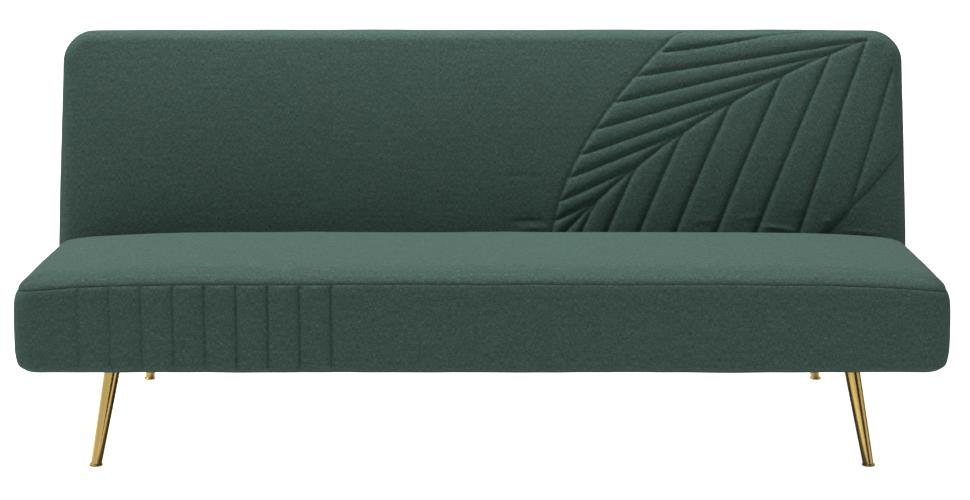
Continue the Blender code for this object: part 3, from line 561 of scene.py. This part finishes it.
def seat_lines(width, depth, thickness):
    half = width / 2
    columns = [x + d for x in channel_lines() for d in either_side(BESIDE_CHANNEL)]
    columns += [HEM - half, half - HEM]
    xs = with_marks(spaced((-half, half, SEAT_WIDTH_PITCH)), columns, CHANNEL_CLEAR)
    ys = spaced((0, HEM, SEAT_EDGE_PITCH), (HEM, depth - HEM, SEAT_DEPTH_PITCH),
                (depth - HEM, depth, SEAT_EDGE_PITCH))
    upper = thickness - SEAT_EDGE_HIGH
    levels = spaced((0, SEAT_EDGE_LOW, SEAT_EDGE_PITCH), (SEAT_EDGE_LOW, upper, SEAT_HIGH_PITCH),
                    (upper, thickness, SEAT_EDGE_PITCH))
    zs = with_marks(levels, [thickness - SEAM_DOWN + d for d in either_side(BESIDE_SEAM)], SEAM_CLEAR)
    return xs, ys, zs


def seat_matrix():
    """From the seat block's own coordinates to the row frame."""
    low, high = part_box("seat_cover")
    return Matrix.Translation(((low.x + high.x) / 2, low.y, low.z))


def channel_depth(x, y, z, seam):
    """How deep the sewn channels sink the front panel, and below zero how far it stands out between them."""
    lines = channel_lines()
    gap = np.min([np.abs(x - line) for line in lines], axis=0)
    below_seam, above_under = CHANNEL_FADES
    fade = ease(seam - z, 0.0, below_seam) * ease(z, 0.0, above_under)
    first = lines[-1]
    strength = CHANNEL_WEAKEST + (1 - CHANNEL_WEAKEST) * ease(x, first - CHANNEL_LEAD, lines[FULL_CHANNEL])
    groove = CHANNEL_DEEP * np.exp(-gap / CHANNEL_WIDE * CHANNEL_STEEP) * strength
    puff = CHANNEL_PUFF / 2 * np.clip(gap / (CHANNEL_PITCH / 2), 0, 1)
    within = (x < LAST_CHANNEL + CHANNEL_MARGIN) & (x > first - CHANNEL_MARGIN)
    return np.where((y < NEARLY) & (z < seam) & within, (groove - puff) * fade, 0)


def seat_cushion(material):
    low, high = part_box("seat_cover")
    skin = Skin(*seat_lines(*(high - low)), SEAT_EDGES)
    seam = skin.thickness - SEAM_DOWN
    x, y, z = skin.flat.T
    points = skin.rounded(skin.flat)
    normals = normals_of(points, skin.faces)
    crease = np.where(skin.on_side, SEAM_CREASE * np.exp(-np.abs(z - seam) / SEAM_CREASE_WIDE), 0)
    rise = bulge(skin.flat, skin, SEAT_BULGE) * skin.on_side + softness(skin.flat, SEAT_WAVES)
    points += normals * (rise - crease - channel_depth(x, y, z, seam))[:, None]
    points[:, 2] += crown(skin.flat, skin, SEAT_CROWN, SEAT_CROWN_POWER)
    # the seam and the top panel droop towards the two ends, and the seam wavers a little
    waver = waves(np.stack([x, y, 0 * z], 1), WAVER_SIZE, WAVER_SEED)
    waver *= np.exp(-np.maximum(z - seam, 0) / SEAM_DOWN)
    points[:, 2] -= (seam_droop(x) + SEAM_WAVER * waver) * np.clip(z / seam, 0, 1)
    # the ends tuck in towards the underside
    beside = skin.half - np.abs(x)
    tuck = END_TUCK * np.clip(1 - z / END_TUCK_HIGH, 0, 1) ** 2
    points[:, 0] -= np.sign(x) * tuck * np.exp(-(beside / END_TUCK_WIDE) ** 2)
    # the seam lies deeper than the panel below it
    pulled = SEAM_DEEP * np.exp(-np.maximum(seam - z, 0) / SEAM_BELOW)
    points[:, 0] -= np.sign(x) * pulled * np.exp(-(beside / SEAM_REACH) ** 2)
    points[:, 1] += pulled * np.exp(-(y / SEAM_REACH) ** 2)
    points[:, 1] -= pulled * np.exp(-((skin.length - y) / SEAM_REACH) ** 2)
    obj = skin.object("seat_cushion", points, material)
    obj.matrix_world = seat_matrix()
    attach(obj, "base")
    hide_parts("seat_cover", "seat_foam")


# ------------------------------------------------------------------ backrest
def back_matrix():
    """From the backrest block's own coordinates to the row frame."""
    pivot = Vector(next(j for j in frame["joints"] if j["name"] == "backrest_hinge")["pos_m"])
    leaning = Matrix.Translation(pivot) @ Matrix.Rotation(-LEAN, 4, "X")
    spot = Matrix.Translation((0, BACK_THICKNESS - PIVOT_BEHIND_FACE, -PIVOT_ABOVE_END))
    return leaning @ spot @ Matrix.Rotation(pi / 2, 4, "X")


def leaf_lines():
    """Every stitched line of the leaf, as rows of points: across, and along from the hinge's level."""
    left = np.vstack([bezier(LEAF_LEFT), (LEAF_LEFT[-1][0], RIB_FOOT)])
    right = np.vstack([bezier(LEAF_RIGHT[:3]), LEAF_RIGHT[3]])
    lines = [left, right, bezier(LEAF_MIDRIB), bezier(TOP_RIB), bezier(OUTER_RIB)]
    joints = bezier(LEAF_MIDRIB, MIDRIB_STEPS + 1)[[int(MIDRIB_STEPS * share) for share in MIDRIB_SHARES]]
    for level, joint in zip(RIB_LEVELS, joints):
        lines.append(np.array([(np.interp(level, left[::-1, 1], left[::-1, 0]), level), joint]))
        slope = LAST_RIB_LEAN if level == RIB_LEVELS[-1] else RIB_LEAN
        foot = np.array([joint[0] - slope * (joint[1] - RIB_FOOT), RIB_FOOT])
        lines.append(bezier((joint, (joint + foot) / 2 - (RIB_BOW, 0), foot)))
    return [spread(line, STITCH_PITCH) for line in lines]


def spread(line, pitch):
    """The same line with points at most that far apart."""
    found = [line[:1]]
    for a, b in zip(line, line[1:]):
        steps = max(1, int(np.ceil(np.linalg.norm(b - a) / pitch)))
        found.append(a + (b - a) * np.linspace(0, 1, steps + 1)[1:, None])
    return np.concatenate(found)


class Quilt:
    """Padding held down along stitched lines: a soft membrane that rises between them."""

    def __init__(self, lines, low, high):
        self.low, self.high = np.array(low), np.array(high)
        counts = np.ceil((self.high - self.low) / RASTER).astype(int) + 1
        held = np.zeros(counts, bool)
        for line in lines:
            cell = np.rint((line - self.low) / RASTER).astype(int)
            good = ((cell >= 0) & (cell < counts)).all(1)
            held[tuple(cell[good].T)] = True
        along = self.low[1] + RASTER * np.arange(counts[1])
        across = self.low[0] + RASTER * np.arange(counts[0])[:, None]
        left, right = (line[np.argsort(line[:, 1])] for line in lines[:2])
        within = across > np.interp(along, left[:, 1], left[:, 0])
        within &= across < np.interp(along, right[:, 1], right[:, 0], right=self.high[0])
        self.height = self.relax(held, np.where(within, 1.0, PLAIN_LIFT))

    def relax(self, held, lift):
        """The height that the padding pushes to, and 0 on the stitches."""
        height = np.where(held, 0.0, FIRST_GUESS * lift)
        pull = (RASTER / QUILT_SOFT) ** 2
        for _ in range(RELAX_ROUNDS):
            padded = np.pad(height, 1, mode="edge")
            around = padded[2:, 1:-1] + padded[:-2, 1:-1] + padded[1:-1, 2:] + padded[1:-1, :-2]
            height = np.where(held, 0.0, (around + 4 * pull * lift) / (4 + 4 * pull))
        return height

    def at(self, places):
        """The height at each (across, along) place. Beyond the raster it stays as at its edge."""
        last_cell = np.array(self.height.shape) - 1.001
        spot = np.clip((places - self.low) / RASTER, 0, last_cell)
        cell = spot.astype(int)
        u, v = (spot - cell).T
        h, (i, j) = self.height, cell.T
        near = h[i, j] * (1 - u) + h[i + 1, j] * u
        far = h[i, j + 1] * (1 - u) + h[i + 1, j + 1] * u
        return near * (1 - v) + far * v


class BackSkin(Skin):
    """The backrest's cover, with a lined slot at each side for the hinge bracket."""

    def in_slot(self, i, j, k):
        x = abs(self.xs[i] + self.xs[i + 1]) / 2
        within = self.ys[j + 1] < SLOT_ALONG + NEARLY and self.zs[k + 1] < SLOT_UP + NEARLY
        return within and SLOT_INNER < x < SLOT_OUTER

    def draw(self):
        super().draw()
        cells = [(i, j, k) for i in range(len(self.xs) - 1) for j in range(len(self.ys) - 1)
                 for k in range(len(self.zs) - 1) if self.in_slot(i, j, k)]
        for i, j, k in cells:
            right, far, up = i + 1, j + 1, k + 1
            if not self.in_slot(i - 1, j, k):
                self.quad("slot", (i, j, k), (i, far, k), (i, far, up), (i, j, up))
            if not self.in_slot(right, j, k):
                self.quad("slot", (right, j, k), (right, j, up), (right, far, up), (right, far, k))
            if not self.in_slot(i, far, k):
                self.quad("slot", (i, far, k), (right, far, k), (right, far, up), (i, far, up))
            if not self.in_slot(i, j, up):
                self.quad("slot", (i, j, up), (i, far, up), (right, far, up), (right, j, up))


def back_grid():
    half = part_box("back_cover")[1].x
    slot_xs = [s * v for s in (-1, 1) for v in (SLOT_INNER, SLOT_OUTER, half - HEM)]
    columns = spaced((-half, NEAR_LEAF, PLAIN_PITCH), (NEAR_LEAF, LEAF_START, NEAR_LEAF_PITCH),
                     (LEAF_START, half, LEAF_PITCH))
    rows = spaced((0, PIVOT_ABOVE_END, BACK_END_PITCH), (PIVOT_ABOVE_END, BACK_LENGTH, LEAF_PITCH))
    xs = with_marks(columns, slot_xs, BACK_LINES_CLEAR)
    ys = with_marks(rows, [HEM, SLOT_ALONG, BACK_LENGTH - HEM], BACK_LINES_CLEAR)
    zs = with_marks(spaced(*BACK_HIGH_LINES), [SLOT_UP], BACK_HIGH_CLEAR)
    return xs, ys, zs


def cloth_places(skin):
    """Each point's place on the unrolled cloth, from the top face on, past the far and near ends."""
    x, y, z = skin.flat.T
    down = skin.thickness - z
    along = np.where(y > skin.length - NEARLY, skin.length + down, np.where(y < NEARLY, -down, y))
    across = np.where(np.abs(x) > skin.half - NEARLY, np.sign(x) * (skin.half + down), x)
    return np.stack([across, along - PIVOT_ABOVE_END], 1)


def folds(places):
    """The height of the small folds at each place."""
    found = np.zeros(len(places))
    for *ends, height in FOLDS:
        line = bezier(ends, FOLD_POINTS)
        gaps = np.linalg.norm(places[:, None] - line[None], axis=2)
        share = gaps.argmin(1) / (len(line) - 1)
        found += height * np.exp(-(gaps.min(1) / FOLD_WIDE) ** 2) * np.sin(pi * share)
    return found


def snap_to(places, lines, reach):
    """How far to move each place that lies near a stitched line, to put it on the line."""
    stitches = np.concatenate(lines)
    tree = kdtree.KDTree(len(stitches))
    for number, p in enumerate(stitches):
        tree.insert((*p, 0), number)
    tree.balance()
    shift = np.zeros_like(places)
    gap = np.zeros(len(places))
    for n, p in enumerate(places):
        spot, _, far = tree.find((*p, 0))
        gap[n] = far
        if far < reach:
            shift[n] = spot[0] - p[0], spot[1] - p[1]
    return shift, gap


def back_cushion(material):
    skin = BackSkin(*back_grid(), BACK_EDGES)
    lines = leaf_lines()
    past_side, past_end = RASTER_PAST
    quilt = Quilt(lines, RASTER_START, (skin.half + past_side, BACK_LENGTH - PIVOT_ABOVE_END + past_end))
    flat = skin.flat.copy()
    places = cloth_places(skin)
    shift, gap = snap_to(places, lines, LEAF_PITCH * SNAP_REACH)
    shift *= (skin.on_top & (skin.inset > NEARLY))[:, None]
    flat[:, :2] += shift
    places += shift
    points = skin.rounded(flat)
    normals = normals_of(points, skin.faces)
    x, y, z = skin.flat.T
    # the quilting fades out on the far side of the top roll and down the ends
    reach = ease(z, *(skin.thickness * share for share in QUILT_FADES))
    height = quilt.at(places)
    inset = np.minimum(skin.half - np.abs(x), skin.length - y)
    proud = np.maximum(height - PLAIN_LIFT, 0) * ease(inset, 0.0, PROUD_FADE)
    held = np.maximum(PLAIN_LIFT - height, 0)
    sunk = QUILT_DEEP * (held - proud) + CREASE_DEEP * np.exp(-gap / CREASE_WIDE)
    pucker = PUCKER * waves(np.column_stack([places, 0 * gap]), PUCKER_SIZE, PUCKER_SEED)
    pucker *= np.exp(-gap / PUCKER_WIDE) * (1 - height)
    soft = softness(skin.flat, BACK_WAVES) + folds(places) * skin.on_top
    rise = (soft + (pucker - sunk) * reach) * (skin.on_top | skin.on_side)
    rise += bulge(skin.flat, skin, BACK_BULGE) * skin.on_side
    points += normals * rise[:, None]
    points[:, 2] += crown(skin.flat, skin, BACK_CROWN, BACK_CROWN_POWER)
    # it narrows towards its top, whose corners droop
    up = np.clip(y / skin.length, 0, 1)
    points[:, 0] -= np.sign(x) * BACK_TAPER * up ** 2 * np.abs(x / skin.half) ** BACK_TAPER_POWER
    points[:, 1] -= BACK_END_SINK * np.exp((np.abs(x) - skin.half) / BACK_END_SINK_WIDE) * up
    obj = skin.object("back_cushion", points, material)
    obj.matrix_world = back_matrix()
    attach(obj, "backrest")
    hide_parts("back_cover", "back_foam")


# ------------------------------------------------------------------ stretched sheets
def free_span(value, spans):
    """From 0 at the ends of each span to 1 in its middle."""
    found = np.zeros_like(value)
    for start, end in spans:
        found += np.sin(pi * np.clip((value - start) / (end - start), 0, 1)) ** 2
    return found


def stretched_sheet(node, body, matrix, size, spans, openings):
    """A cloth stapled under a block inside its hem. It sags where nothing is behind it.

    size is the block's half width and length. Each opening is (low x, high x, low y, high y).
    """
    half, length = size[0] - HEM - 2 * CLEARANCE, size[1] - HEM - 2 * CLEARANCE
    start = HEM + 2 * CLEARANCE
    marks = np.array(openings).T
    xs = with_marks(spaced((-half, half, SHEET_PITCH)), [-half, half, *marks[0], *marks[1]], SHEET_CLEAR)
    ys = with_marks(spaced((start, length, SHEET_PITCH)), [start, length, *marks[2], *marks[3]], SHEET_CLEAR)
    xs, ys = xs[np.abs(xs) <= half], ys[(ys >= start) & (ys <= length)]

    def is_cloth(i, j):
        if not (0 <= i < len(xs) - 1 and 0 <= j < len(ys) - 1):
            return False
        x, y = (xs[i] + xs[i + 1]) / 2, (ys[j] + ys[j + 1]) / 2
        return not any(a < x < b and c < y < d for a, b, c, d in openings)

    across, along = np.meshgrid(xs, ys, indexing="ij")
    sag = spans[2] * free_span(across, spans[0]) * free_span(along, spans[1])
    numbers, points, faces = {}, [], []

    def corner(i, j, k):
        if (i, j, k) not in numbers:
            numbers[i, j, k] = len(points)
            points.append((xs[i], ys[j], CLEARANCE + k * SHEET - sag[i, j]))
        return numbers[i, j, k]

    for i in range(len(xs) - 1):
        for j in range(len(ys) - 1):
            if not is_cloth(i, j):
                continue
            loop = ((i, j), (i + 1, j), (i + 1, j + 1), (i, j + 1))
            beyond = ((i, j - 1), (i + 1, j), (i, j + 1), (i - 1, j))
            faces.append([corner(*c, 1) for c in loop])
            faces.append([corner(*c, 0) for c in reversed(loop)])
            for side, cell in enumerate(beyond):
                if not is_cloth(*cell):
                    a, b = loop[side], loop[(side + 1) % 4]
                    faces.append([corner(*a, 0), corner(*b, 0), corner(*b, 1), corner(*a, 1)])
    obj = make_object(node + "_cloth", points, faces, SLOTS[slot_of[node]])
    obj.data.set_sharp_from_angle(angle=SHARP)
    obj.matrix_world = matrix
    hold(obj, node, body)


# ------------------------------------------------------------------ legs and bumpers
def outline(radius, z, centre, sides=0):
    """A level circle, or a regular polygon with that many sides, with its corners on the circle."""
    radii = np.full(ROUND, radius)
    if sides:
        half = pi / sides
        radii = radius * np.cos(half) / np.cos((ANGLES % (2 * half)) - half)
    x, y = centre[0] + radii * np.cos(ANGLES), centre[1] + radii * np.sin(ANGLES)
    return np.stack([x, y, np.full(ROUND, z)], 1)


def rounded_square(side, corner, z, centre):
    """A level square with round corners, with a point for each point of a circle."""
    reach = side / 2 - corner
    x = centre[0] + reach * np.sign(np.cos(ANGLES)) + corner * np.cos(ANGLES)
    y = centre[1] + reach * np.sign(np.sin(ANGLES)) + corner * np.sin(ANGLES)
    return np.stack([x, y, np.full(ROUND, z)], 1)


def chain(name, rings, material, closed=False):
    """A solid drawn ring by ring, with caps, or closed from its last ring to its first."""
    points = np.concatenate(rings)
    faces = []
    pairs = list(zip(range(len(rings)), range(1, len(rings))))
    if closed:
        pairs.append((len(rings) - 1, 0))
    else:
        faces += [list(range(ROUND))[::-1], list(range(len(points) - ROUND, len(points)))]
    for a, b in pairs:
        for k in range(ROUND):
            n = (k + 1) % ROUND
            faces.append((a * ROUND + k, a * ROUND + n, b * ROUND + n, b * ROUND + k))
    obj = make_object(name, points, faces, material)
    obj.data.set_sharp_from_angle(angle=SHARP)
    return obj


def middle_of(node):
    low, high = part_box(node)
    return np.array((low + high) / 2)


def leg(label):
    material = SLOTS["brass_plate"]
    foot, top = middle_of("leg_foot_" + label), middle_of("leg_plate_" + label)
    start, end = (corner.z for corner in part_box("leg_tube_" + label))
    plate_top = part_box("leg_plate_" + label)[1].z
    plate_low = end + CLEARANCE
    inside = LEG_WALL + 2 * CLEARANCE

    def at(z, inset):
        """An outline of the tapered tube, or of what is that much smaller."""
        centre = foot[:2] + (top - foot)[:2] * z / end
        return outline(LEG_FOOT_RADIUS + (LEG_TOP_RADIUS - LEG_FOOT_RADIUS) * z / end - inset, z, centre)

    tube = [at(start, LEG_WALL), at(start, RIM), at(start + RIM, 0)]
    tube += [at(end - RIM, 0), at(end, RIM), at(end, LEG_WALL)]
    hold(chain("brass_tube_" + label, tube, material, closed=True), "leg_tube_" + label)

    def disc(inset, z):
        return outline(FOOT_RADIUS - inset, z, foot)

    rings = [disc(FOOT_EDGE * (1 - np.sin(a)), FOOT_EDGE * (1 - np.cos(a))) for a in TURNS]
    rings += [disc(FOOT_EDGE * (1 - np.cos(a)), FOOT_HIGH - FOOT_EDGE * (1 - np.sin(a))) for a in TURNS]
    rings += [at(FOOT_HIGH, inside), at(FOOT_HIGH + FOOT_PLUG, inside)]
    hold(chain("brass_foot_" + label, rings, material), "leg_foot_" + label)

    def square(inset, z):
        return rounded_square(PLATE_SIDE - 2 * inset, PLATE_CORNER - inset, z, top)

    rings = [at(plate_low - SPIGOT_LONG, inside), at(plate_low, inside)]
    rings += [square(PLATE_EDGE, plate_low), square(0, plate_low + PLATE_EDGE)]
    rings += [square(0, plate_top - PLATE_EDGE), square(PLATE_EDGE, plate_top)]
    hold(chain("brass_plate_" + label, rings, material), "leg_plate_" + label)
    for number, (ahead, aside) in enumerate(((-1, -1), (-1, 1), (1, -1), (1, 1)), 1):
        place = (top[0] + aside * SCREW_ASIDE, top[1] + ahead * SCREW_AHEAD)
        screw(f"plate_screw_{label}_{number}", place, plate_low)


def screw(name, place, z):
    """A button head under a plate, with a hexagon socket."""
    low = z - SCREW_HIGH
    rings = [outline(SOCKET, level, place, SOCKET_SIDES) for level in (low + SOCKET_DEEP, low)]
    flat = SOCKET + RIM
    for a in TURNS:
        rings.append(outline(flat + (SCREW_RADIUS - flat) * np.sin(a), z - SCREW_HIGH * np.cos(a), place))
    obj = chain(name, rings, SLOTS["zinc_steel"])
    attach(obj, "base")


def bumper(side):
    """A rubber post, waisted, with a round top edge."""
    node = "bumper_" + side
    low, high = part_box(node)
    centre, radius = middle_of(node), (high.x - low.x) / 2
    tip, round_from = radius * BUMPER_NECK - BUMPER_ROUND, high.z - BUMPER_ROUND
    levels = [(radius - RIM, low.z), (radius, low.z + RIM), (radius, low.z + BUMPER_ROUND)]
    levels.append((radius * BUMPER_WAIST, (low.z + high.z) / 2))
    levels += [(tip + BUMPER_ROUND * np.cos(a), round_from + BUMPER_ROUND * np.sin(a)) for a in TURNS]
    rings = [outline(wide, z, centre) for wide, z in levels]
    hold(chain("rubber_" + node, rings, SLOTS["rubber"]), node)


# ------------------------------------------------------------------ stage
def make_floor():
    """A pale floor. It glows for the camera, so that it stays white, and throws plain light back."""
    floor = Shading("pale_floor", roughness=0.9)
    tone = floor.ramp(floor.noise(0.8), (0.3, (0.60, 0.60, 0.60)), (0.7, (0.62, 0.62, 0.62)))
    rays = floor.add("ShaderNodeLightPath").outputs
    floor.link(floor.mix(rays["Is Diffuse Ray"], tone, (FLOOR_BOUNCE,) * 3), "Base Color")
    floor.shader.inputs["Emission Color"].default_value = WHITE
    floor.link(floor.range(rays["Is Camera Ray"], 0.0, FLOOR_GLOW, 0.0, 1.0), "Emission Strength")
    points = [(x * FLOOR_HALF, y * FLOOR_HALF, 0) for x, y in ((-1, -1), (1, -1), (1, 1), (-1, 1))]
    make_object("floor", points, [(0, 1, 2, 3)], floor.material, smooth=False)


def make_flags():
    """Black flags that only mirror-like metal sees, for the dark stripe along each leg."""
    black = Shading("black_flag", roughness=1.0)
    black.shader.inputs["Base Color"].default_value = (0.01, 0.01, 0.01, 1)
    for label in LEG_LABELS:
        leg_x, leg_y, _ = middle_of("leg_tube_" + label)
        near, far = (leg_x + reach for reach in FLAG_ASIDE)
        y = leg_y - FLAG_AHEAD
        card = [(near, y, 0), (far, y, 0), (far, y, FLAG_HIGH), (near, y, FLAG_HIGH)]
        flag = make_object("flag_" + label, card, [(0, 1, 2, 3)], black.material, smooth=False)
        flag.visible_camera = flag.visible_diffuse = flag.visible_shadow = False


def make_world():
    """An even sky, brighter in mirror-like metal and white to the camera."""
    world = bpy.data.worlds.new("studio")
    bpy.context.scene.world = world
    world.use_nodes = True
    nodes, links = world.node_tree.nodes, world.node_tree.links
    background = nodes["Background"]
    background.inputs["Color"].default_value = WHITE
    rays = nodes.new("ShaderNodeLightPath").outputs
    in_mirrors, to_camera = (nodes.new("ShaderNodeMapRange") for _ in range(2))
    in_mirrors.inputs["To Min"].default_value = SKY
    in_mirrors.inputs["To Max"].default_value = MIRROR_SKY
    to_camera.inputs["To Max"].default_value = 1.0
    links.new(rays["Is Glossy Ray"], in_mirrors.inputs["Value"])
    links.new(in_mirrors.outputs["Result"], to_camera.inputs["To Min"])
    links.new(rays["Is Camera Ray"], to_camera.inputs["Value"])
    links.new(to_camera.outputs["Result"], background.inputs["Strength"])
    bpy.context.scene.view_settings.view_transform = "Standard"


def make_lights():
    """A broad light from overhead and the left, and a softbox that hangs just above the sofa."""
    sun = bpy.data.lights.new("overhead", "SUN")
    sun.energy, sun.angle = LIGHT, LIGHT_ANGLE
    lamp = bpy.data.objects.new("overhead", sun)
    lamp.rotation_euler = Vector(LIGHT_FROM).to_track_quat("Z", "Y").to_euler()
    bpy.context.scene.collection.objects.link(lamp)

    box = bpy.data.lights.new("softbox", "AREA")
    box.shape, box.energy = "RECTANGLE", SOFTBOX
    box.size, box.size_y = SOFTBOX_SIZE
    lamp = bpy.data.objects.new("softbox", box)
    lamp.location = SOFTBOX_PLACE
    bpy.context.scene.collection.objects.link(lamp)


def make_camera():
    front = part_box("seat_cover")[0].y
    data = bpy.data.cameras.new("camera")
    data.lens, data.sensor_width = CAMERA_LENS, CAMERA_SENSOR
    camera = bpy.data.objects.new("camera", data)
    bpy.context.scene.collection.objects.link(camera)
    camera.location = (CAMERA_ASIDE, front - CAMERA_AWAY, CAMERA_HIGH)
    camera.rotation_euler = (pi / 2 - CAMERA_DOWN, 0, 0)
    bpy.context.scene.camera = camera


# ------------------------------------------------------------------ the scene
make_camera()
make_floor()
make_flags()
make_world()
make_lights()

for node_name, node in frame["nodes"].items():
    node.data.materials.clear()
    node.data.materials.append(SLOTS[slot_of[node_name]])

seat_cushion(SLOTS["green_fabric"])
back_cushion(SLOTS["green_fabric"])

low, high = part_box("seat_cover")
bolt_holes = []
for leg_label in LEG_LABELS:
    x, y, _ = middle_of("seat_bolt_" + leg_label)
    y -= low.y
    bolt_holes.append((x - BOLT_HOLE / 2, x + BOLT_HOLE / 2, y - BOLT_HOLE / 2, y + BOLT_HOLE / 2))
    leg(leg_label)
stretched_sheet("seat_dust_cover", "base", seat_matrix(), (high.x, high.y - low.y), SEAT_SPANS, bolt_holes)
hinge_slots = [(-SLOT_OUTER, -SLOT_INNER, 0, SLOT_ALONG), (SLOT_INNER, SLOT_OUTER, 0, SLOT_ALONG)]
stretched_sheet("back_panel", "backrest", back_matrix(), (high.x, BACK_LENGTH), BACK_SPANS, hinge_slots)
for bumper_side in ("left", "right"):
    bumper(bumper_side)
